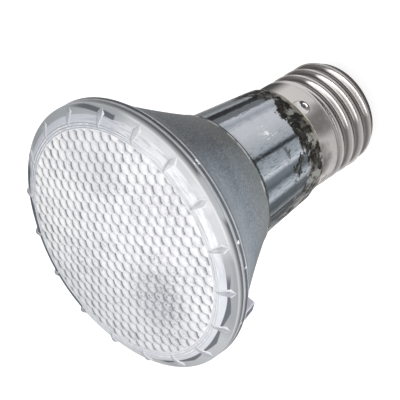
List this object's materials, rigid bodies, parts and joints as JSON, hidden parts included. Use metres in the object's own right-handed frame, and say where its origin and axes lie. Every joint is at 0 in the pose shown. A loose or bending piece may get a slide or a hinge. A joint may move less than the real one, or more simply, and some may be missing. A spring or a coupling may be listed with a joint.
{
  "type": "halogen reflector bulb",
  "caption": "Halogen reflector heat bulb with a domed lens of hexagonal cells, a painted glass cone, a faceted neck and a screw cap.",
  "frame": {"origin": "lowest point of the solder on the centre contact, on the lamp axis", "axes": "+Z along the lamp axis from the screw cap to the lens, +X and +Y across it"},
  "size_m": [0.064, 0.064, 0.081],
  "materials": {
    "nickel": "satin nickel plate",
    "black_glass": "opaque black glass",
    "brass": "plain brass",
    "solder": "dull solder",
    "wire": "drawn wire",
    "coated_glass": "grey metallic paint outside, mirror coat inside",
    "cement": "pale cement",
    "lens_glass": "clear pressed glass",
    "quartz": "clear quartz",
    "tungsten": "dark drawn tungsten",
    "foil": "thin molybdenum foil"
  },
  "bodies": {
    "root": {"cap_shell": "nickel", "cap_insulator": "black_glass", "centre_contact": "brass", "contact_solder": "solder", "contact_wire": "wire", "side_wire": "wire", "side_solder": "solder", "reflector": "coated_glass", "lens_cement": "cement", "front_lens": "lens_glass", "capsule_envelope": "quartz", "filament": "tungsten", "inner_lead_short": "tungsten", "inner_lead_long": "tungsten", "foil_right": "foil", "foil_left": "foil", "pin_right": "wire", "pin_left": "wire", "eyelet_right": "brass", "eyelet_left": "brass"}
  },
  "joints": []
}
